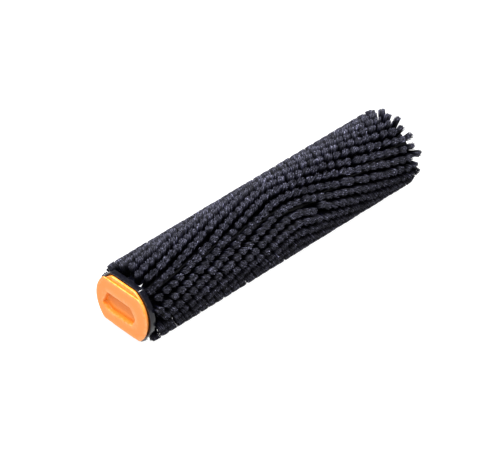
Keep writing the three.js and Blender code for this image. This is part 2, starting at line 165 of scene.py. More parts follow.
def rounded_profile(corners, arc_steps):
    """A profile of [x, radius, rounding] corners with each rounding made an arc.

    The arc is the circle tangent to both sides of its corner: its middle lies on the bisector, and its
    points turn evenly from one side's direction to the other's. Returns points and a mask that is 1 on
    the arcs.
    """
    corners = np.asarray(corners, dtype=float)
    points, mask = [], []
    for here, before, following in zip(corners, np.roll(corners, 1, 0), np.roll(corners, -1, 0)):
        into = before[:2] - here[:2]
        out = following[:2] - here[:2]
        into_length, out_length = np.linalg.norm(into), np.linalg.norm(out)
        into, out = into / into_length, out / out_length
        half = math.acos(np.clip(into @ out, -1, 1)) / 2
        if here[2] <= 0 or half > 1.55:
            points.append(here[None, :2])
            mask.append(np.zeros(1))
            continue
        reach = min(here[2] / math.tan(half), 0.49 * into_length, 0.49 * out_length)
        radius = reach * math.tan(half)
        middle = here[:2] + (into + out) / np.linalg.norm(into + out) * radius / math.sin(half)
        start, stop = here[:2] + into * reach - middle, here[:2] + out * reach - middle
        share = np.linspace(0, 1, arc_steps + 1)[:, None]
        sweep = math.pi - 2 * half
        arc = (np.sin((1 - share) * sweep) * start + np.sin(share * sweep) * stop) / math.sin(sweep)
        points.append(middle + arc)
        mask.append(np.sin(np.pi * share[:, 0]) * 0.6 + 0.4)
    return np.concatenate(points), np.concatenate(mask)


def ring_points(x, radius, angle):
    """Points (x, -r sin a, r cos a): a turns about the spin axis from the top towards -Y."""
    return np.stack(np.broadcast_arrays(x, -radius * np.sin(angle), radius * np.cos(angle)), axis=-1)


def ring_surface(rings, angle, poles=None):
    """Surface over rings round the spin axis, each with its x, its radius and its share of edge wear.

    x and radius are one number or one for each angle. The rings close on themselves like a tyre, or
    on two poles like a ball.
    """
    points = np.concatenate([
        ring_points(x, np.broadcast_to(radius, angle.shape), angle) for x, radius, _ in rings])
    edge = np.repeat([float(share) for _, _, share in rings], len(angle))
    if poles is None:
        return points, loft_faces(len(rings), len(angle), closed_ends=False, wrap_rings=True), {"edge": edge}
    points = np.concatenate([points, poles])
    edge = np.concatenate([edge, [0, 0]])
    return points, loft_faces(len(rings), len(angle), closed_ends=True), {"edge": edge}


def turned_piece(name, replaced, body, slot, corners, around=96, on_axis=False, arc_steps=3):
    """A profile turned about the spin axis: point (u, v) is the profile's point v at angle u.

    A profile that starts and ends on the axis is given without its axis points and closes with poles.
    """
    profile, mask = rounded_profile(corners, arc_steps)
    angle = np.linspace(0, TURN, around, endpoint=False)
    rings = [(x, radius, share) for (x, radius), share in zip(profile, mask)]
    poles = [[profile[0, 0], 0, 0], [profile[-1, 0], 0, 0]] if on_axis else None
    store_mesh(name, replaced, body, slot, ring_surface(rings, angle, poles))


# ---------- shader nodes and node groups

def new_group(name, inputs, outputs):
    """An empty shader node group with float sockets: inputs by name with defaults, and output names."""
    group = bpy.data.node_groups.new(name, "ShaderNodeTree")
    for label, default in inputs.items():
        socket = group.interface.new_socket(label, in_out="INPUT", socket_type="NodeSocketFloat")
        socket.default_value = default
    for label in outputs:
        group.interface.new_socket(label, in_out="OUTPUT", socket_type="NodeSocketFloat")
    return group


def node(tree, kind, links=None, **settings):
    """Adds a node, sets its properties, and joins or sets the inputs that links names."""
    made = tree.nodes.new(kind)
    for key, value in settings.items():
        setattr(made, key, value)
    for key, value in (links or {}).items():
        if isinstance(value, bpy.types.NodeSocket):
            tree.links.new(value, made.inputs[key])
        else:
            made.inputs[key].default_value = value
    return made


def noise(tree, scale, detail, vector=None):
    """A noise texture's value, on Object coordinates unless a vector is given."""
    if vector is None:
        vector = node(tree, "ShaderNodeTexCoord").outputs["Object"]
    texture = node(tree, "ShaderNodeTexNoise", {"Vector": vector, "Scale": scale, "Detail": detail})
    return texture.outputs["Fac"]


def calculate(tree, operation, *values):
    """The result of one Math node."""
    return node(tree, "ShaderNodeMath", dict(enumerate(values)), operation=operation).outputs[0]


def ranged(tree, value, low, high, start=0.0, stop=1.0):
    """Maps start to stop on to low to high, and holds low and high beyond them."""
    return node(tree, "ShaderNodeMapRange", {
        "Value": value, "From Min": start, "From Max": stop, "To Min": low, "To Max": high}).outputs[0]


def attribute(tree, name):
    return node(tree, "ShaderNodeAttribute", attribute_name=name).outputs["Fac"]


def grain_group(name):
    """Moulded surface: Height is fine noise plus a broad waviness, Mottle is a slow 0 to 1 variation."""
    group = new_group(name, {"Fine scale": 1800, "Wave scale": 60, "Wave share": 0.6}, ["Height", "Mottle"])
    ins = node(group, "NodeGroupInput").outputs
    wave = noise(group, ins["Wave scale"], 3)
    height = calculate(group, "MULTIPLY_ADD", wave, ins["Wave share"], noise(group, ins["Fine scale"], 2))
    node(group, "NodeGroupOutput", {"Height": height, "Mottle": wave})
    return group


def wear_group(name):
    """Edge wear: the edge attribute times a patchy noise, sharpened, as a 0 to 1 mask."""
    group = new_group(name, {"Scale": 220, "Amount": 0.5}, ["Mask"])
    ins = node(group, "NodeGroupInput").outputs
    patches = ranged(group, noise(group, ins["Scale"], 4), 0, 1, start=0.35, stop=0.7)
    worn = calculate(group, "MULTIPLY", patches, attribute(group, "edge"))
    node(group, "NodeGroupOutput", {"Mask": calculate(group, "MULTIPLY", worn, ins["Amount"])})
    return group


def dust_group(name):
    """Dust: sparse soft specks from two noises, as a 0 to 1 mask."""
    group = new_group(name, {"Scale": 900, "Cover": 0.3}, ["Mask"])
    ins = node(group, "NodeGroupInput").outputs
    specks = ranged(group, noise(group, ins["Scale"], 5), 0, 1, start=0.6, stop=0.75)
    film = calculate(group, "MULTIPLY", specks, noise(group, 45, 2))
    node(group, "NodeGroupOutput", {"Mask": calculate(group, "MULTIPLY", film, ins["Cover"])})
    return group


GROUP_BUILDERS = {"Moulded grain": grain_group, "Edge wear": wear_group, "Dust specks": dust_group}


def place_group(tree, name, *values):
    """Places a shared node group, built once, with this material's own values in its inputs' order."""
    shared = bpy.data.node_groups.get(name) or GROUP_BUILDERS[name](name)
    made = node(tree, "ShaderNodeGroup", node_tree=shared)
    for socket, value in zip(made.inputs, values):
        socket.default_value = value
    return made.outputs


def blank_material(name, **fixed):
    """A material with a Principled shader; fixed are numbers set on the shader's own sockets."""
    material = bpy.data.materials.new(name)
    material.use_nodes = True
    tree = material.node_tree
    tree.nodes.clear()
    shader = tree.nodes.new("ShaderNodeBsdfPrincipled")
    output = tree.nodes.new("ShaderNodeOutputMaterial")
    tree.links.new(shader.outputs[0], output.inputs["Surface"])
    for key, value in fixed.items():
        shader.inputs[key].default_value = value
    return material, tree, shader


def mix_colour(tree, share, first, second):
    """A mix from first to second by share, each of them a socket or plain numbers."""
    made = node(tree, "ShaderNodeMix", data_type="RGBA")
    for index, value in ((0, share), (6, first), (7, second)):
        if isinstance(value, bpy.types.NodeSocket):
            tree.links.new(value, made.inputs[index])
        elif index == 0:
            made.inputs[index].default_value = value
        else:
            made.inputs[index].default_value = (*value[:3], 1.0)
    return made.outputs[2]


def overlay(tree, colour, group, values, over):
    """The colour with another one over it where a shared group's mask is."""
    return mix_colour(tree, place_group(tree, group, *values)["Mask"], colour, over)


def connect(tree, shader, colour, roughness, height=None, depth=0.0):
    """Feeds the shader's colour and roughness, and its normal from a bump of the given depth."""
    tree.links.new(colour, shader.inputs["Base Color"])
    tree.links.new(roughness, shader.inputs["Roughness"])
    if height is not None:
        bump = node(tree, "ShaderNodeBump", {"Height": height, "Distance": depth, "Strength": 1.0})
        tree.links.new(bump.outputs["Normal"], shader.inputs["Normal"])


# ---------- materials

def rgb(colour):
    """A colour's three numbers as an array, which can be scaled."""
    return np.array(colour[:3], dtype=float)


def cap_plastic(name):
    """Orange moulded plastic: slow colour variation, fine grain, paler worn edges, dust."""
    material, tree, shader = blank_material(name)
    grain = place_group(tree, "Moulded grain", 2600, 38, 0.8)
    base = rgb(bpy.context.scene.brush_finish.cap_colour)
    colour = mix_colour(tree, grain["Mottle"], base * 0.93, base * 1.07)
    colour = overlay(tree, colour, "Edge wear", (240, 0.35), (1.0, 0.62, 0.30))
    colour = overlay(tree, colour, "Dust specks", (1100, 0.25), (0.80, 0.66, 0.52))
    connect(tree, shader, colour, ranged(tree, grain["Mottle"], 0.36, 0.46), grain["Height"], 0.05 * MM)
    return material


def core_plastic(name):
    """Glossy black moulded plastic with faint flow marks and dust."""
    material, tree, shader = blank_material(name, **{"Specular IOR Level": 0.3})
    grain = place_group(tree, "Moulded grain", 1500, 30, 0.9)
    base = rgb(bpy.context.scene.brush_finish.core_colour)
    colour = overlay(tree, base, "Edge wear", (300, 0.5), (0.07, 0.07, 0.075))
    colour = overlay(tree, colour, "Dust specks", (1300, 0.12), (0.16, 0.15, 0.14))
    connect(tree, shader, colour, ranged(tree, grain["Mottle"], 0.10, 0.16), grain["Height"], 0.02 * MM)
    return material


def bristle_filament(name):
    """Charcoal filaments, no two quite alike, their colour running from near black at the root to greyer at
    the cut tips: a painted shade for the depth inside the tufts.
    """
    colours = bpy.context.scene.brush_finish
    material, tree, shader = blank_material(name, **{"Specular IOR Level": 0.12})
    # Painted shade: the height to the seventh power keeps all but the tips near black, as if shaded by the
    # filaments around them.
    rise = calculate(tree, "POWER", attribute(tree, "along"), 7)
    colour = mix_colour(tree, rise, rgb(colours.bristle_root_painted_shade), rgb(colours.bristle_tip))
    streaks = noise(tree, 620, 3)
    patches = ranged(tree, streaks, 0.1, 2.0, start=0.34, stop=0.66)
    gain = calculate(tree, "MULTIPLY", attribute(tree, "shade"), patches)
    gains = node(tree, "ShaderNodeCombineXYZ", {"X": gain, "Y": gain, "Z": gain}).outputs[0]
    scaled = node(tree, "ShaderNodeVectorMath", {0: colour, 1: gains}, operation="MULTIPLY").outputs[0]
    connect(tree, shader, scaled, ranged(tree, streaks, 0.38, 0.6))
    return material


def ground_steel(name):
    """Ground steel: fine rings round the spin axis in roughness and bump."""
    material, tree, shader = blank_material(name, Metallic=1.0)
    place = node(tree, "ShaderNodeTexCoord").outputs["Object"]
    stretched = node(tree, "ShaderNodeMapping", {"Vector": place, "Scale": (6000, 90, 90)}).outputs[0]
    lines = noise(tree, 1, 3, stretched)
    colour = mix_colour(tree, lines, (0.46, 0.47, 0.49), (0.62, 0.63, 0.65))
    colour = overlay(tree, colour, "Edge wear", (500, 0.5), (0.75, 0.75, 0.76))
    connect(tree, shader, colour, ranged(tree, lines, 0.18, 0.38), lines, 0.01 * MM)
    return material


def ball_steel(name):
    """Polished ball steel with a breath of oil."""
    material, tree, shader = blank_material(name, Metallic=1.0)
    oil = noise(tree, 700, 2)
    colour = mix_colour(tree, oil, (0.62, 0.62, 0.63), (0.74, 0.73, 0.70))
    connect(tree, shader, colour, ranged(tree, oil, 0.05, 0.14))
    return material


def seal_rubber(name):
    """Dull black rubber with a fine grain and a bloom of dust."""
    material, tree, shader = blank_material(name)
    grain = place_group(tree, "Moulded grain", 3200, 120, 0.5)
    colour = mix_colour(tree, grain["Mottle"], (0.018, 0.018, 0.018), (0.035, 0.034, 0.033))
    colour = overlay(tree, colour, "Dust specks", (1500, 0.4), (0.12, 0.11, 0.10))
    connect(tree, shader, colour, ranged(tree, grain["Mottle"], 0.6, 0.78), grain["Height"], 0.04 * MM)
    return material


def cage_plastic(name):
    """Brown glass-filled nylon with short pale flecks."""
    material, tree, shader = blank_material(name)
    grain = place_group(tree, "Moulded grain", 2200, 160, 0.5)
    colour = mix_colour(tree, grain["Mottle"], (0.10, 0.07, 0.045), (0.15, 0.11, 0.07))
    colour = overlay(tree, colour, "Dust specks", (2600, 0.9), (0.35, 0.30, 0.24))
    connect(tree, shader, colour, ranged(tree, grain["Mottle"], 0.4, 0.55), grain["Height"], 0.03 * MM)
    return material


def studio_white(name):
    """Pale light-table top, slightly mottled; it glows, so the brush throws next to no shadow."""
    material, tree, shader = blank_material(name, **{"Emission Strength": 1.0})
    paper = noise(tree, 3, 2)
    glow = mix_colour(tree, paper, (0.99, 0.99, 0.99), (1.0, 1.0, 1.0))
    tree.links.new(glow, shader.inputs["Emission Color"])
    colour = mix_colour(tree, paper, (0.12, 0.12, 0.12), (0.14, 0.14, 0.14))
    connect(tree, shader, colour, ranged(tree, paper, 0.85, 0.95))
    return material


FINISHES = {
    "cap_plastic": ("Cap plastic", cap_plastic),
    "core_plastic": ("Core plastic", core_plastic),
    "bristle": ("Bristle filament", bristle_filament),
    "ground_steel": ("Ground steel", ground_steel),
    "ball_steel": ("Ball steel", ball_steel),
    "seal_rubber": ("Seal rubber", seal_rubber),
    "cage_plastic": ("Cage plastic", cage_plastic),
    "studio": ("Studio white", studio_white),
}


def finish(slot):
    """The slot's material, built the first time it is asked for."""
    name, build = FINISHES[slot]
    return bpy.data.materials.get(name) or build(name)


# ---------- settings

def length(name, description, default):
    return bpy.props.FloatProperty(name=name, description=description, default=default,
                                   subtype="DISTANCE", unit="LENGTH", precision=4)


def turn(name, description, degrees):
    return bpy.props.FloatProperty(name=name, description=description, default=math.radians(degrees),
                                   subtype="ANGLE", unit="ROTATION")


def tint(name, description, default):
    return bpy.props.FloatVectorProperty(name=name, description=description, default=default,
                                         size=3, min=0.0, max=1.0, subtype="COLOR")


class BristleSettings(bpy.types.PropertyGroup):
    """Sizes of the tufts and of the chevron that they follow"""

    pitch: length("Tuft pitch", "Distance between two tufts of a row", 10.2 * MM)
    root_radius: length("Root radius", "Half length of a tuft along the brush at the core", 4.5 * MM)
    tip_spread: length("Tip spread", "Half length of a tuft along the brush at its cut tips", 4.8 * MM)
    tip_width: bpy.props.FloatProperty(name="Tip width", default=0.79,
                                       description="Width of a tuft's tips as a share of their length")
    filament_radius: length("Filament radius", "Radius of one filament", 0.36 * MM)
    filaments: bpy.props.IntProperty(name="Filaments", description="Filaments in a tuft", default=60, min=6)
    end_lean: turn("End lean", "Outward lean of the last tuft of a row", 9)
    parting: length("Parting", "How far the tips part at the flaw in the rows", 5.4 * MM)
    sweep: turn("Chevron sweep", "Turn of a row from its end to its apex", 64)
    apex_x: length("Chevron apex", "Place of the chevron's apex along the spin axis", 11.8 * MM)
    seed: bpy.props.IntProperty(name="Seed", description="Seed of the small irregularities", default=12)


class MouldingSettings(bpy.types.PropertyGroup):
    """Sizes of the end cap's and the other mouldings' details"""

    flat_height: length("Flat height", "Height of the cap's flats over the axis", 28.5 * MM)
    plate_radius: length("Plate radius", "Radius of the cap's face plate", 40 * MM)
    plate_thickness: length("Plate thickness", "Thickness of the face plate", 1.7 * MM)
    groove_width: length("Groove width", "Width of the groove behind the plate", 1.2 * MM)
    groove_depth: length("Groove depth", "Depth of the groove behind the plate", 4.5 * MM)
    flange_radius: length("Flange radius", "Radius of the flange behind the groove", 37.5 * MM)
    flange_flat: length("Flange flat height", "Height of the flange's flats over the axis", 32.8 * MM)
    shroud_radius: length("Shroud radius", "Radius of the black shroud behind the cap", 40.7 * MM)
    shroud_bore: length("Shroud bore", "Radius of the shroud's bore", 33.2 * MM)
    pocket_depth: length("Pocket depth", "Depth of the finger pocket at its lower side", 5.2 * MM)
    pocket_tilt: turn("Pocket tilt", "Tilt of the pocket's floor", 16)
    socket_flats: length("Socket", "Drive socket's width across its flats", 24 * MM)
    socket_depth: length("Socket depth", "Depth of the drive socket", 22 * MM)


class FinishSettings(bpy.types.PropertyGroup):
    """Colours of the materials"""

    cap_colour: tint("Cap", "Orange of the end cap", (0.86, 0.24, 0.012))
    core_colour: tint("Core", "Black of the core and hub", (0.003, 0.003, 0.006))
    # Painted shade: the near black roots stand for the shade deep in the tufts.
    bristle_root_painted_shade: tint("Bristle root", "Filaments near the core", (0.001, 0.001, 0.004))
    bristle_tip: tint("Bristle tip", "Filaments at their cut ends", (0.037, 0.037, 0.053))


class StudioSettings(bpy.types.PropertyGroup):
    """Camera, floor and lights"""

    azimuth: turn("Azimuth", "Camera's direction round the brush", -43.92)
    elevation: turn("Elevation", "Camera's height over the horizon", 38.88)
    distance: length("Distance", "Camera's distance from the point it looks at", 3.3118)
    aim_x: length("Aim along", "Place along the spin axis that the camera looks at", -23.78 * MM)
    aim_z: length("Aim height", "Height that the camera looks at", 12.07 * MM)
    focal_length: bpy.props.FloatProperty(name="Focal length", default=222.33,
                                          description="Lens on a 36 mm wide sensor, in mm")


# ---------- bristles

HALF_WAVE_CAP_SIDE = 215 * MM
HALF_WAVE_HUB_SIDE = 191 * MM
CHEVRON_SHARPNESS = 0.97
TUFTS_IN_ROW = 39
ROW_START = math.radians(13.56)
TUFT_MIDDLE_X = CAP_FACE_X + 213.6 * MM
TUFT_LIMIT_X = high_x("cap_shroud") + 0.6 * MM
FILAMENT_SIDES = 3
FILAMENT_HEIGHTS = np.array([0.0, 0.55, 1.0])
ROOT_SINK = 0.8 * MM
PARTING_START = (35 * MM, math.radians(46))
PARTING_END = (53 * MM, math.radians(71))
PARTING_REACH = 8 * MM


def chevron(x):
    """Turn of a row from its start, at x: a triangle wave with a rounded peak.

    It is half the sweep times one plus arcsin(k cos p) / arcsin(k), with p half a turn per half wave.
    """
    sizes = bpy.context.scene.brush_bristles
    half_wave = np.where(x < sizes.apex_x, HALF_WAVE_CAP_SIDE, HALF_WAVE_HUB_SIDE)
    wave = np.arcsin(CHEVRON_SHARPNESS * np.cos(np.pi * (x - sizes.apex_x) / half_wave))
    return -sizes.sweep / 2 * (1 + wave / math.asin(CHEVRON_SHARPNESS))


def row_tufts(row):
    """Places of a row's tufts: x along the axis and angle round it. Every second row sits half a
    pitch over, so it has one tuft less."""
    sizes = bpy.context.scene.brush_bristles
    count = TUFTS_IN_ROW - row % 2
    x = TUFT_MIDDLE_X + (np.arange(count) - (count - 1) / 2) * sizes.pitch
    angle = ROW_START + chevron(x) + TURN * row / len(ROW_NODES)
    return x, angle


def filament_places(count):
    """Sunflower pattern in a unit disc: filament i is at radius sqrt((i + 1/2) / n), turned by i golden
    angles."""
    index = np.arange(count)
    radius = np.sqrt((index + 0.5) / count)
    turn = index * math.pi * (3 - math.sqrt(5))
    return radius * np.cos(turn), radius * np.sin(turn), radius


def tuft_leans(tufts, random):
    """Lean of a row's tufts along the axis, towards -X at the cap and +X at the hub, fading inwards."""
    sizes = bpy.context.scene.brush_bristles
    lean = random.normal(0, math.radians(1.6), tufts)
    lean[:3] -= np.array([1.0, 0.5, 0.2]) * sizes.end_lean * random.normal(0.9, 0.12, 3)
    lean[-3:] += np.array([0.2, 0.5, 1.3]) * sizes.end_lean * random.normal(1, 0.35, 3)
    return np.clip(lean, -math.radians(11), math.radians(22))


def parting_shift(x, angle):
    """Shift of the tips away from a line on the unrolled brush, where the rows meet badly.

    It is the unit vector from the line's nearest point, times the parting, exp(-(distance / 8 mm)^2) and
    0.45 + 0.55 s, s running from 0 to 1 along the line.
    """
    start = np.array([PARTING_START[0], PARTING_START[1] * TIP_RADIUS])
    run = np.array([PARTING_END[0], PARTING_END[1] * TIP_RADIUS]) - start
    wrapped = (angle - PARTING_START[1] + math.pi) % TURN - math.pi + PARTING_START[1]
    place = np.stack([x, wrapped * TIP_RADIUS], axis=-1) - start
    share = np.clip(place @ run / (run @ run), 0, 1)
    away = place - share[:, None] * run
    distance = np.linalg.norm(away, axis=1)
    fade = np.exp(-(distance / PARTING_REACH) ** 2)
    size = bpy.context.scene.brush_bristles.parting * fade * (0.45 + 0.55 * share)
    return away / np.maximum(distance, 1e-5)[:, None] * size[:, None]


def bristle_row(row, random):
    """One row of tufts. A filament is a three-sided tube with rings at its root, middle and tip.

    A filament's middle line at height t is root (1 - t^1.2) + tip t^1.2 across the tuft. Along its tuft's
    leaning axis it runs from inside the core out to the trimmed tip.
    """
    sizes = bpy.context.scene.brush_bristles
    x, angle = row_tufts(row)
    tufts, count = len(x), sizes.filaments
    across_x, across_t, rim = filament_places(count)
    lean = tuft_leans(tufts, random)
    parted = parting_shift(x, angle)
    shift_x = parted[:, 0] + random.normal(0, 0.4 * MM, tufts)
    shift_t = parted[:, 1] + random.normal(0, 0.4 * MM, tufts)
    spread = sizes.tip_spread * random.normal(1, 0.05, tufts)
    spin = random.uniform(0, TURN, tufts)
    turned_x = across_x * np.cos(spin)[:, None] - across_t * np.sin(spin)[:, None]
    turned_t = across_x * np.sin(spin)[:, None] + across_t * np.cos(spin)[:, None]
    jitter = random.normal(0, 0.42 * MM, (2, tufts, count))
    tip_x = turned_x * spread[:, None] * np.cos(lean)[:, None] + jitter[0] + shift_x[:, None]
    tip_t = turned_t * spread[:, None] * sizes.tip_width + jitter[1] + shift_t[:, None]
    height = FILAMENT_HEIGHTS[:, None, None]
    flare = height ** 1.2
    root = CORE_RADIUS - ROOT_SINK
    trim = 0.35 * MM * rim ** 2 + np.abs(random.normal(0, 0.16 * MM, (tufts, count)))
    span = TIP_RADIUS - root - trim
    middle_x = x[:, None] + turned_x * sizes.root_radius * (1 - flare) + tip_x * flare
    middle_x = np.maximum(middle_x + span * np.sin(lean)[:, None] * flare, TUFT_LIMIT_X)
    middle_t = turned_t * sizes.root_radius * 0.6 * (1 - flare) + tip_t * flare
    rise = span * np.cos(lean)[:, None] - turned_x * spread[:, None] * np.sin(lean)[:, None] * flare
    radius = root + rise * height
    start = random.uniform(0, TURN, (tufts, count))
    corner = np.arange(FILAMENT_SIDES) * TURN / FILAMENT_SIDES + start[None, ..., None]
    thick = sizes.filament_radius * np.array([1.0, 1.0, 0.85])[:, None, None, None]
    out_x = middle_x[..., None] + thick * np.cos(corner)
    out_t = middle_t[..., None] + thick * np.sin(corner)
    around = angle[None, :, None, None] + out_t / radius[..., None]
    points = ring_points(out_x, np.broadcast_to(radius[..., None], out_x.shape), around)
    points = points.transpose(1, 2, 0, 3, 4).reshape(-1, 3)
    along = np.broadcast_to(height[..., None], out_x.shape).transpose(1, 2, 0, 3).ravel()
    shade = random.normal(1, 0.10, tufts)[:, None] * random.lognormal(-0.3, 0.85, (tufts, count))
    shade = np.repeat(shade.ravel(), FILAMENT_SIDES * len(FILAMENT_HEIGHTS))
    return points, filament_faces(tufts * count), {"along": along, "shade": shade}


def filament_faces(count):
    """Faces of count filaments of nine points each: two bands of three quads, and both ends."""
    start = (np.arange(count) * 9)[:, None, None]
    side = np.arange(3)
    after = (side + 1) % 3
    band = np.stack([side, after, after + 3, side + 3], axis=1)
    quads = np.concatenate([band, band + 3])
    ends = np.array([[2, 1, 0], [6, 7, 8]])
    return [(start + quads).reshape(-1, 4), (start + ends).reshape(-1, 3)]


class BRUSH_OT_bristles(bpy.types.Operator):
    """Add the rows of bristle tufts"""

    bl_idname = "brush.bristles"
    bl_label = "Bristle rows"

    def execute(self, context):
        for row, replaced in enumerate(ROW_NODES):
            random = np.random.default_rng(context.scene.brush_bristles.seed + row)
            name = replaced.replace("bristle_row", "tufts")
            store_mesh(name, replaced, "brush", "bristle", bristle_row(row, random))
        return {"FINISHED"}


# ---------- core, housing and hub

CORE_BORE = 20 * MM
KEY_COUNT = 4
KEY_OUTER = 23.5 * MM
KEY_REACH = 3.5 * MM
KEY_WIDTH = 8.0 * MM
KEY_GAP = 0.3 * MM
DIMPLE_RADIUS = 3.0 * MM
DIMPLE_DEPTH = 0.45 * MM


def key_radius(angle, low, high, half_width):
    """Radius low, raised to high within half_width of each key's middle line."""
    nearest = (angle + TURN / KEY_COUNT / 2) % (TURN / KEY_COUNT) - TURN / KEY_COUNT / 2
    return np.where(np.abs(np.sin(nearest)) * high < half_width, high, low)


def nearest_tuft_distance(x, angle):
    """Distance on the core's surface from (x, angle) to the nearest tuft's middle."""
    sizes = bpy.context.scene.brush_bristles
    rows = len(ROW_NODES)
    best = np.full(np.broadcast(x, angle).shape, 1.0)
    turn = (angle - ROW_START - chevron(x)) / TURN * rows
    for parity in (0, 1):
        row = 2 * np.round((turn - parity) / 2) + parity
        count = TUFTS_IN_ROW - parity
        first = TUFT_MIDDLE_X - (count - 1) / 2 * sizes.pitch
        index = np.clip(np.round((x - first) / sizes.pitch), 0, count - 1)
        along = x - first - index * sizes.pitch
        across = (turn - row) * TURN / rows * CORE_RADIUS
        best = np.minimum(best, np.hypot(along, across))
    return best


def core_surface(around=160, along=330):
    """The core tube: its outside dips round each tuft by a cosine bell, and its bore has key slots."""
    start, stop = low_x("brush_core"), high_x("brush_core")
    edge = 0.6 * MM
    angle = np.linspace(0, TURN, around, endpoint=False)
    x = np.linspace(start + edge, stop - edge, along)
    near = np.clip(nearest_tuft_distance(x[:, None], angle) / DIMPLE_RADIUS, 0, 1)
    outside = CORE_RADIUS - DIMPLE_DEPTH * (0.5 + 0.5 * np.cos(np.pi * near))
    slots = key_radius(angle, CORE_BORE, KEY_OUTER + KEY_GAP, KEY_WIDTH / 2 + KEY_GAP)
    slot_start = stop - KEY_REACH - KEY_GAP
    return ring_surface([
        (start, CORE_RADIUS - edge, 1), *((place, radius, 0) for place, radius in zip(x, outside)),
        (stop, CORE_RADIUS - edge, 1), (stop, slots, 0), (slot_start, slots, 0),
        (slot_start, CORE_BORE, 0), (start, CORE_BORE, 0), (start, CORE_BORE + edge, 0),
    ], angle)


class BRUSH_OT_core(bpy.types.Operator):
    """Add the core tube that holds the tufts"""

    bl_idname = "brush.core"
    bl_label = "Core"

    def execute(self, context):
        store_mesh("core_tube", "brush_core", "brush", "core_plastic", core_surface())
        return {"FINISHED"}


class BRUSH_OT_housing(bpy.types.Operator):
    """Add the bearing housing"""

    bl_idname = "brush.housing"
    bl_label = "Bearing housing"

    def execute(self, context):
        profile = np.array([
            (7.4, 30.0, 0.5), (15.6, 30.0, 0.3), (15.6, 19.7, 0.2), (33.2, 19.7, 0.2), (33.2, 17.6, 0.2),
            (35.6, 17.6, 0.2), (35.6, 19.7, 0.2), (37.6, 19.7, 0.8), (37.6, 13.6, 0.4), (31.9, 13.6, 0.4),
            (31.9, 16.05, 0.2), (22.2, 16.05, 0.1), (22.2, 17.4, 0.1), (20.6, 17.4, 0.1),
            (20.6, 16.05, 0.1), (13.0, 16.05, 0.4), (13.0, 27.6, 0.6), (7.4, 27.6, 0.3),
        ])
        turned_piece("housing", "bearing_housing", "brush", "core_plastic", profile * MM + [CAP_FACE_X, 0, 0],
                     around=192, arc_steps=5)
        return {"FINISHED"}


def polygon_radius(angle, sides, sharpness):
    """Radius of a soft-cornered outline: (sum of (cos(angle - normal) / distance)^p)^(-1/p).

    sides are (normal angle, distance from the middle) pairs, and p is the sharpness.
    """
    total = np.zeros_like(angle)
    for normal, distance in sides:
        total = total + np.clip(np.cos(angle - normal) / distance, 0, None) ** sharpness
    return total ** (-1 / sharpness)


def hub_surface(around=192):
    """The drive hub: a hexagonal socket, the flange, keys and the spigot, joined ring to ring."""
    sizes = bpy.context.scene.brush_mouldings
    angle = np.linspace(0, TURN, around, endpoint=False)
    normals = [TURN * (i + 0.5) / 6 + TURN / 4 for i in range(6)]
    hexagon = polygon_radius(angle, [(normal, sizes.socket_flats / 2) for normal in normals], 60.0)
    mouth = np.maximum(hexagon, 13.6 * MM)
    face, flange = HUB_FACE_X, HUB_FACE_X - 2.1 * MM
    spigot, spigot_radius, seat_radius = low_x("drive_hub"), 19.7 * MM, 17.6 * MM
    floor = face - sizes.socket_depth
    keys = key_radius(angle, spigot_radius, KEY_OUTER, KEY_WIDTH / 2)
    return ring_surface([
        (floor, hexagon * 0.5, 0), (floor, hexagon * 0.93, 0), (floor + 0.4 * MM, hexagon * 0.985, 0),
        (floor + 1.2 * MM, hexagon, 0), (face - 2.6 * MM, hexagon, 0), (face - 2.3 * MM, hexagon * 1.01, 1),
        (face - 0.5 * MM, mouth * 1.07, 1), (face - 0.1 * MM, mouth * 1.09, 1), (face, mouth * 1.11, 0),
        (face, 19.0 * MM, 0), (face - 0.35 * MM, 19.4 * MM, 0), (face - 0.35 * MM, 26.0 * MM, 0),
        (face, 26.4 * MM, 0), (face, 28.9 * MM, 0), (face - 0.3 * MM, 29.6 * MM, 1),
        (face - 0.8 * MM, 30.0 * MM, 1), (flange + 0.2 * MM, 30.0 * MM, 0), (flange, 29.8 * MM, 1),
        (flange, np.maximum(keys, 23.6 * MM), 0), (flange, keys, 0), (flange - KEY_REACH, keys, 0),
        (flange - KEY_REACH, spigot_radius, 0), (spigot + 4.4 * MM, spigot_radius, 0),
        (spigot + 4.4 * MM, seat_radius, 0), (spigot + 2.0 * MM, seat_radius, 0),
        (spigot + 2.0 * MM, spigot_radius, 0), (spigot + 0.5 * MM, spigot_radius, 0),
        (spigot, 19.2 * MM, 0), (spigot, 8.0 * MM, 0),
    ], angle, poles=[[floor, 0, 0], [spigot, 0, 0]])


class BRUSH_OT_hub(bpy.types.Operator):
    """Add the drive hub with its hexagonal socket"""

    bl_idname = "brush.hub"
    bl_label = "Drive hub"

    def execute(self, context):
        store_mesh("hub", "drive_hub", "brush", "core_plastic", hub_surface())
        return {"FINISHED"}


# ---------- end cap

POCKET_CORNERS = np.array([[-14, 10], [-22, -1.5], [-16, -13.5], [20.5, -14.8], [30, -8], [22, 10]]) * MM
POCKET_MIDDLE = np.array([4.0, -2.3]) * MM
POCKET_DEEP_RADIUS = 25.4 * MM
POCKET_TILT_Z = -9 * MM
CAP_WALL = 1.6 * MM
FLANGE_BACK_X = CAP_FACE_X + 5.6 * MM
TUB_START = 5.7 * MM
BOSS_RADIUS = 11 * MM
PIN_HOLE_RADIUS = 7.55 * MM


def pocket_sides(grow):
    """The pocket outline's sides as (normal angle, distance from its middle), moved out by grow."""
    start = POCKET_CORNERS - POCKET_MIDDLE
    run = np.roll(start, -1, 0) - start
    normal = np.stack([run[:, 1], -run[:, 0]], axis=1)
    normal = normal / np.linalg.norm(normal, axis=1)[:, None]
    distance = np.sum(normal * start, axis=1)
    normal = normal * np.sign(distance)[:, None]
    return [(math.atan2(n[1], n[0]), abs(d) + grow) for n, d in zip(normal, distance)]


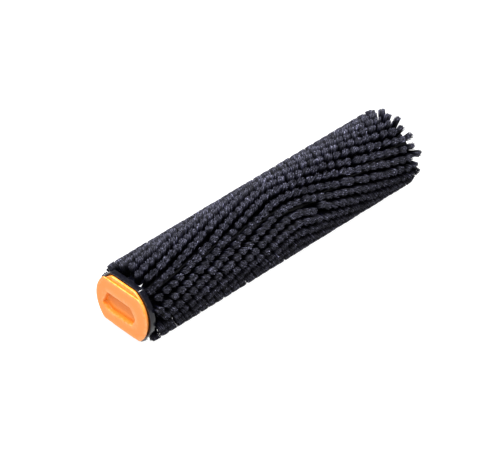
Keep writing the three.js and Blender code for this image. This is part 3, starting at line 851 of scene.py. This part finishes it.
def flatted_radius(angle, radius, flat):
    """Outline of a circle with two flats, (flat^-60 + circle^-60)^(-1/60), its corners slightly rounded."""
    flats = polygon_radius(angle, [(TURN / 4, flat), (-TURN / 4, flat)], 60.0)
    return (flats ** -60 + radius ** -60.0) ** (-1 / 60)


def quarter_arc(steps):
    """Sine and one minus cosine from 0 to 90 degrees: how far a rounded edge runs out and drops."""
    return [(math.sin(a), 1 - math.cos(a)) for a in np.radians(np.linspace(0, 90, steps))]


def cap_surface(around=384):
    """The end cap as one surface, ring to ring: from the middle of the pocket's floor, up its wall, over
    the rim, across the face, round the plate, groove and flange, and over the tub and boss behind to
    the pin's hole."""
    sizes = bpy.context.scene.brush_mouldings
    angle = np.linspace(0, TURN, around, endpoint=False)
    face = CAP_FACE_X
    plate_back = face + sizes.plate_thickness
    flange_front = plate_back + sizes.groove_width
    boss_end = high_x("end_cap")
    rings = []

    def ring(radius, middle=(0.0, 0.0)):
        return np.stack([middle[0] + radius * np.cos(angle), middle[1] + radius * np.sin(angle)], axis=1)

    def pocket(grow, share=1.0):
        return ring(polygon_radius(angle, pocket_sides(grow), 30.0) * share, POCKET_MIDDLE)

    def plate(grow):
        return ring(flatted_radius(angle, sizes.plate_radius + grow, sizes.flat_height + grow))

    def flange(grow):
        return ring(flatted_radius(angle, sizes.flange_radius + grow, sizes.flange_flat + grow))

    def floor_depth(yz):
        radius = np.hypot(yz[:, 0], yz[:, 1])
        inside = np.clip((POCKET_DEEP_RADIUS + 0.8 * MM - radius) / (1.6 * MM), 0, 1)
        inside = inside * inside * (3 - 2 * inside)
        slope = math.tan(sizes.pocket_tilt) * np.clip(yz[:, 1] - POCKET_TILT_Z, 0, None)
        return sizes.pocket_depth + inside * slope

    def tub_back(yz):
        return face + np.maximum(floor_depth(yz) + CAP_WALL, TUB_START)

    def lay(yz, x, edge=0.0):
        rings.append((np.broadcast_to(x, (around,)), yz, edge))

    draft, foot, rim, rounding, bend = -0.35 * MM, 1.2 * MM, 0.9 * MM, 0.6 * MM, 0.5 * MM
    for share in (0.2, 0.4, 0.6, 0.8, 0.92):
        lay(pocket(draft, share), face + floor_depth(pocket(draft, share)))
    for out, rise in quarter_arc(6):
        lay(pocket(draft - foot * (1 - out)), face + floor_depth(pocket(draft)) - foot * rise)
    for rise, out in quarter_arc(7):
        lay(pocket(rim * out), face + rim * (1 - rise), 1.0)
    for share in (0.6, 0.25):
        lay(share * pocket(rim) + (1 - share) * plate(-rounding), face)
    for out, drop in quarter_arc(6):
        lay(plate(-rounding * (1 - out)), face + rounding * drop, 1.0)
    lay(plate(0), plate_back - 0.2 * MM)
    lay(plate(-0.2 * MM), plate_back, 1.0)
    lay(plate(-sizes.groove_depth), plate_back)
    lay(plate(-sizes.groove_depth), flange_front)
    for out, drop in quarter_arc(6):
        lay(flange(-bend * (1 - out)), flange_front + bend * drop, 1.0)
    lay(flange(0), FLANGE_BACK_X - 0.3 * MM)
    lay(flange(-0.3 * MM), FLANGE_BACK_X, 1.0)
    lay(flange(-1.6 * MM), FLANGE_BACK_X)
    tub, boss = pocket(CAP_WALL), ring(np.full(around, BOSS_RADIUS))
    lay(tub, FLANGE_BACK_X)
    lay(tub, tub_back(tub) - 0.6 * MM)
    lay(pocket(CAP_WALL - 0.6 * MM), tub_back(tub))
    between = 0.5 * pocket(0, 0.9) + 0.5 * boss
    lay(between, tub_back(between))
    lay(boss, tub_back(boss))
    lay(boss, boss_end - 0.8 * MM)
    lay(ring(np.full(around, BOSS_RADIUS - 0.8 * MM)), boss_end, 1.0)
    hole, hole_floor = ring(np.full(around, PIN_HOLE_RADIUS)), low_x("journal_pin") - 0.2 * MM
    lay(ring(np.full(around, PIN_HOLE_RADIUS + 0.4 * MM)), boss_end)
    lay(hole, boss_end - 0.4 * MM)
    lay(hole, hole_floor)
    lay(hole * 0.5, hole_floor)

    points = np.concatenate([np.stack([x, yz[:, 0], yz[:, 1]], axis=1) for x, yz, _ in rings])
    floor_middle = face + floor_depth(POCKET_MIDDLE[None, :])[0]
    poles = [[floor_middle, *POCKET_MIDDLE], [hole_floor, 0, 0]]
    edge = np.concatenate([np.repeat([r[2] for r in rings], around), [0, 0]])
    return np.concatenate([points, poles]), loft_faces(len(rings), around, closed_ends=True), {"edge": edge}


def shroud_surface(around=384):
    """The black flatted ring behind the cap: its outline moved in by a quarter arc at each outer edge, and
    a round bore."""
    sizes = bpy.context.scene.brush_mouldings
    angle = np.linspace(0, TURN, around, endpoint=False)
    start, stop = low_x("cap_shroud"), high_x("cap_shroud")
    flat = outer_radius("cap_shroud")
    rings = []
    for x, turns, bend, side in ((start, (90, 0), 1.1 * MM, 1), (stop, (0, 90), 0.5 * MM, -1)):
        for turn in np.radians(np.linspace(*turns, 7)):
            grow = -bend * (1 - math.cos(turn))
            radius = flatted_radius(angle, sizes.shroud_radius + grow, flat + grow)
            rings.append((x + side * bend * (1 - math.sin(turn)), radius, math.sin(2 * turn)))
    bore, chamfer = sizes.shroud_bore, 0.3 * MM
    rings += [(stop, bore + chamfer, 0), (stop - chamfer, bore, 0), (start + chamfer, bore, 0),
              (start, bore + chamfer, 0)]
    return ring_surface(rings, angle - TURN / 4)


class BRUSH_OT_end_cap(bpy.types.Operator):
    """Add the orange end cap with its finger pocket, and the black shroud behind it"""

    bl_idname = "brush.end_cap"
    bl_label = "End cap"

    def execute(self, context):
        store_mesh("cap_moulding", "end_cap", "cap", "cap_plastic", cap_surface())
        store_mesh("shroud", "cap_shroud", "cap", "core_plastic", shroud_surface())
        return {"FINISHED"}


# ---------- bearing, pin, rings and seals

PITCH_RADIUS = 11.75 * MM
BALL_RADIUS = 2.2 * MM
RACE_RADIUS = 2.3 * MM
BEARING_OUTSIDE = 16 * MM
INNER_RING_BORE = 7.55 * MM
PIN_RADIUS = 7.5 * MM
PIN_GROOVE_RADIUS = 6.8 * MM
PIN_GROOVE_WIDTH = 1.4 * MM


def race_corners(side):
    """Points of the ball groove's section, from +X to -X."""
    angles = np.radians(np.linspace(50, -50, 13))
    return [(BEARING_X + RACE_RADIUS * math.sin(a), PITCH_RADIUS + side * RACE_RADIUS * math.cos(a), 0)
            for a in angles]


def sphere_surface(middle, radius, around=32, rings=16):
    """Ball: middle + radius (cos p, sin p cos a, sin p sin a), with poles on the X line."""
    polar = np.linspace(0, np.pi, rings + 2)[1:-1][:, None]
    angle = np.linspace(0, TURN, around, endpoint=False)[None, :]
    unit = np.stack(np.broadcast_arrays(
        np.cos(polar), np.sin(polar) * np.cos(angle), np.sin(polar) * np.sin(angle)), axis=-1).reshape(-1, 3)
    unit = np.concatenate([unit, [[1, 0, 0], [-1, 0, 0]]])
    return np.array(middle) + radius * unit, loft_faces(rings, around, closed_ends=True), {}


def cage_surface(around=360):
    """Crown cage: a ring whose front edge dips in a circle's arc round each ball."""
    angle = np.linspace(0, TURN, around, endpoint=False)
    step = TURN / len(BALL_NODES)
    across = ((angle - TURN / 4 + step / 2) % step - step / 2) * PITCH_RADIUS
    clear = BALL_RADIUS + 0.15 * MM
    lip = -0.6 * MM
    dip = np.sqrt(np.clip(clear ** 2 - across ** 2, 0, None))
    front = BEARING_X + np.where(np.abs(across) < clear, np.maximum(dip, lip), lip)
    back = BEARING_X + 2.8 * MM
    inner, outer, soft = PITCH_RADIUS - 0.9 * MM, PITCH_RADIUS + 0.9 * MM, 0.15 * MM
    points, faces, _ = ring_surface([
        (front + soft, outer, 0), (back - soft, outer, 0), (back, outer - soft, 0), (back, inner + soft, 0),
        (back - soft, inner, 0), (front + soft, inner, 0), (front, inner + soft, 0), (front, outer - soft, 0),
    ], angle)
    return points, faces, {}


def snap_ring(name, replaced, inner, outer, gap, around=120):
    """Retaining ring: a flat band round the axis, thickest opposite its gap, with an eye at each end.

    The band's width is the full width times 0.72 + 0.28 cos of half the angle from the middle, and the
    ends swell over the last few degrees. Its sharp edges, over 35 degrees, get a small bevel.
    """
    turn = np.linspace(-0.5, 0.5, around) * (TURN - gap)
    width = (outer - inner) * (0.72 + 0.28 * np.cos(turn / 2))
    eye = 1.5 * MM * np.exp(-((np.abs(turn) - (TURN - gap) / 2 + 0.10) / 0.09) ** 2)
    in_housing = outer > outer_radius("bearing_outer_ring")
    low = outer - width - eye if in_housing else np.full(around, inner)
    high = np.full(around, outer) if in_housing else inner + width + eye
    x_low, x_high = low_x(replaced), high_x(replaced)
    corners = [(x_low, low), (x_high, low), (x_high, high), (x_low, high)]
    points = np.stack([ring_points(x, r, turn + np.pi) for x, r in corners], axis=1)
    start = np.arange(around - 1) * 4
    quads = np.concatenate([
        np.stack([start + i, start + (i + 1) % 4, start + 4 + (i + 1) % 4, start + 4 + i], axis=1)
        for i in range(4)])
    last = (around - 1) * 4
    ends = np.array([[0, 3, 2, 1], [last, last + 1, last + 2, last + 3]])
    body = "brush" if in_housing else "cap"
    piece = store_mesh(name, replaced, body, "ground_steel", (points, [quads, ends], {}), smooth=False)
    bevel = piece.modifiers.new("Soft edges", "BEVEL")
    bevel.width = 0.12 * MM
    bevel.segments = 3
    bevel.limit_method = "ANGLE"
    bevel.angle_limit = math.radians(35)


def ring_piece(name, replaced, body, slot, inner, outer, rounding):
    """A ring of rectangular section with rounded edges, as long as its node."""
    start, stop = low_x(replaced), high_x(replaced)
    turned_piece(name, replaced, body, slot, [
        (start, outer, rounding), (stop, outer, rounding), (stop, inner, rounding), (start, inner, rounding)])


class BRUSH_OT_bearing(bpy.types.Operator):
    """Add the ball bearing: rings, shields, cage and balls"""

    bl_idname = "brush.bearing"
    bl_label = "Ball bearing"

    def execute(self, context):
        front, back = BEARING_X - BEARING_HALF, BEARING_X + BEARING_HALF
        groove = race_corners(1)
        shoulder = groove[0][1]
        turned_piece("outer_ring", "bearing_outer_ring", "brush", "ground_steel", [
            (front, BEARING_OUTSIDE, 0.4 * MM), (back, BEARING_OUTSIDE, 0.4 * MM),
            (back, shoulder, 0.1 * MM), *groove, (front, shoulder, 0.1 * MM)])
        groove = race_corners(-1)[::-1]
        shoulder = groove[0][1]
        turned_piece("inner_ring", "bearing_inner_ring", "cap", "ground_steel", [
            (front, shoulder, 0.1 * MM), *groove, (back, shoulder, 0.1 * MM),
            (back, INNER_RING_BORE, 0.3 * MM), (front, INNER_RING_BORE, 0.3 * MM)])
        for side in ("front", "back"):
            ring_piece(f"shield_{side}", f"bearing_shield_{side}", "brush", "seal_rubber",
                       10.6 * MM, 13.1 * MM, 0.25 * MM)
        for index, ball in enumerate(BALL_NODES):
            low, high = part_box(ball)
            surface = sphere_surface((low + high) / 2, BALL_RADIUS)
            store_mesh(f"ball_{index + 1}", ball, "cage", "ball_steel", surface)
        store_mesh("crown_cage", "ball_cage", "cage", "cage_plastic", cage_surface())
        return {"FINISHED"}


class BRUSH_OT_fixings(bpy.types.Operator):
    """Add the journal pin, its washer and the two retaining rings"""

    bl_idname = "brush.fixings"
    bl_label = "Pin and rings"

    def execute(self, context):
        start, stop = low_x("journal_pin"), high_x("journal_pin")
        groove = BEARING_X + BEARING_HALF + 0.3 * MM
        groove_end = groove + PIN_GROOVE_WIDTH
        turned_piece("pin", "journal_pin", "cap", "ground_steel", [
            (start, 4 * MM, 0), (start, PIN_RADIUS, 0.5 * MM), (groove, PIN_RADIUS, 0.1 * MM),
            (groove, PIN_GROOVE_RADIUS, 0.1 * MM), (groove_end, PIN_GROOVE_RADIUS, 0.1 * MM),
            (groove_end, PIN_RADIUS, 0.1 * MM), (stop, PIN_RADIUS, 0.8 * MM), (stop, 2.2 * MM, 0.1 * MM),
            (stop - 1.6 * MM, 0.6 * MM, 0),
        ], on_axis=True, arc_steps=4)
        ring_piece("washer", "thrust_washer", "cap", "ground_steel", 7.8 * MM, 9.6 * MM, 0.2 * MM)
        snap_ring("pin_snap_ring", "pin_retaining_ring", 7 * MM, 9.8 * MM, gap=1.0)
        snap_ring("housing_snap_ring", "housing_retaining_ring", 13.8 * MM, 17 * MM, gap=0.7)
        return {"FINISHED"}


class BRUSH_OT_seals(bpy.types.Operator):
    """Add the shaft seal and the two seal rings"""

    bl_idname = "brush.seals"
    bl_label = "Seals"

    def execute(self, context):
        start, stop = low_x("shaft_seal"), high_x("shaft_seal")
        turned_piece("lip_seal", "shaft_seal", "brush", "seal_rubber", [
            (start, BEARING_OUTSIDE, 0.4 * MM), (stop, BEARING_OUTSIDE, 0.4 * MM),
            (stop, 14.4 * MM, 0.3 * MM), (start + 2.2 * MM, 14.4 * MM, 0.6 * MM),
            (start + 5.2 * MM, 12.4 * MM, 0.2 * MM), (start + 4.6 * MM, 11.3 * MM, 0.1 * MM),
            (start, 12.5 * MM, 0.3 * MM),
        ], arc_steps=4)
        section = 0.95 * MM
        for replaced in ("housing_seal_ring", "hub_seal_ring"):
            middle = (low_x(replaced) + high_x(replaced)) / 2
            centre = outer_radius(replaced) - section
            corners = [(middle + section * math.cos(a), centre + section * math.sin(a), 0)
                       for a in np.linspace(TURN / 2, -TURN / 2, 20, endpoint=False)]
            turned_piece(replaced.replace("_ring", ""), replaced, "brush", "seal_rubber", corners)
        return {"FINISHED"}


# ---------- stage

FLOOR_HALF = 6.0
FLOOR_CELLS = 4


def area_light(name, place, aim, size, power):
    """A soft rectangular light at a place, turned to a point; the size is in metres, the power in watts."""
    data = bpy.data.lights.new(name, "AREA")
    data.shape = "RECTANGLE"
    data.size, data.size_y = size
    data.energy = power
    lamp = bpy.data.objects.new(name, data)
    bpy.context.scene.collection.objects.link(lamp)
    lamp.location = place
    lamp.rotation_euler = (Vector(aim) - Vector(place)).to_track_quat("-Z", "Y").to_euler()


class BRUSH_OT_stage(bpy.types.Operator):
    """Add the camera, the pale floor and the soft studio light"""

    bl_idname = "brush.stage"
    bl_label = "Studio"

    def execute(self, context):
        scene = context.scene
        studio = scene.brush_studio
        level = math.cos(studio.elevation)
        back = Vector((math.sin(studio.azimuth) * level, -math.cos(studio.azimuth) * level,
                          math.sin(studio.elevation)))
        lens = bpy.data.cameras.new("Camera")
        lens.lens = studio.focal_length
        lens.sensor_width = 36.0
        lens.clip_end = 50.0
        camera = bpy.data.objects.new("Camera", lens)
        scene.collection.objects.link(camera)
        camera.location = Vector((studio.aim_x, 0, studio.aim_z)) + back * studio.distance
        camera.rotation_euler = (-back).to_track_quat("-Z", "Y").to_euler()
        scene.camera = camera

        side = FLOOR_CELLS + 1
        edge = np.linspace(-FLOOR_HALF, FLOOR_HALF, side)
        height = np.full((side, side), CAD_BOX[0].z)
        grid = np.stack([*np.meshgrid(edge, edge), height], axis=-1).reshape(-1, 3)
        corner = (np.arange(FLOOR_CELLS)[:, None] * side + np.arange(FLOOR_CELLS)).ravel()
        cells = np.stack([corner, corner + 1, corner + side + 1, corner + side], axis=1)
        mesh = bpy.data.meshes.new("Floor")
        mesh.from_pydata(grid.tolist(), [], cells.tolist())
        mesh.materials.append(finish("studio"))
        floor = bpy.data.objects.new("Floor", mesh)
        scene.collection.objects.link(floor)

        world = bpy.data.worlds.new("Studio")
        world.use_nodes = True
        background = world.node_tree.nodes["Background"].inputs
        background["Color"].default_value = (1, 1, 1, 1)
        background["Strength"].default_value = 0.3
        scene.world = world
        area_light("Top strip", (0.0, 0.0, 1.6), (0, 0, 0), (1.6, 0.2), 80)
        area_light("Front softbox", (-0.95, -0.4, 1.5), (-0.15, 0, 0), (0.7, 0.7), 13)
        scene.view_settings.view_transform = "Standard"
        return {"FINISHED"}


class BRUSH_PT_panel(bpy.types.Panel):
    """The brush's parts and settings"""

    bl_idname = "BRUSH_PT_panel"
    bl_label = "Roller brush"
    bl_space_type = "VIEW_3D"
    bl_region_type = "UI"
    bl_category = "Brush"

    def draw(self, context):
        for operator in OPERATORS:
            self.layout.operator(operator.bl_idname)
        for group in GROUPS:
            settings = getattr(context.scene, group)
            box = self.layout.box()
            for key in settings.bl_rna.properties.keys():
                if key not in ("rna_type", "name"):
                    box.prop(settings, key)


GROUPS = {
    "brush_bristles": BristleSettings,
    "brush_mouldings": MouldingSettings,
    "brush_finish": FinishSettings,
    "brush_studio": StudioSettings,
}
OPERATORS = (BRUSH_OT_stage, BRUSH_OT_core, BRUSH_OT_housing, BRUSH_OT_hub, BRUSH_OT_end_cap,
             BRUSH_OT_bearing, BRUSH_OT_fixings, BRUSH_OT_seals, BRUSH_OT_bristles)


def register():
    for group, settings in GROUPS.items():
        bpy.utils.register_class(settings)
        setattr(bpy.types.Scene, group, bpy.props.PointerProperty(type=settings))
    for made in (*OPERATORS, BRUSH_PT_panel):
        bpy.utils.register_class(made)


def unregister():
    for made in (BRUSH_PT_panel, *reversed(OPERATORS)):
        bpy.utils.unregister_class(made)
    for group, settings in GROUPS.items():
        delattr(bpy.types.Scene, group)
        bpy.utils.unregister_class(settings)


def write_sizes():
    """Updates the view layer."""
    bpy.context.view_layer.update()


def main():
    register()
    bpy.ops.brush.stage()
    bpy.ops.brush.core()
    bpy.ops.brush.housing()
    bpy.ops.brush.hub()
    bpy.ops.brush.end_cap()
    bpy.ops.brush.bearing()
    bpy.ops.brush.fixings()
    bpy.ops.brush.seals()
    bpy.ops.brush.bristles()
    write_sizes()


if __name__ == "__main__":
    main()
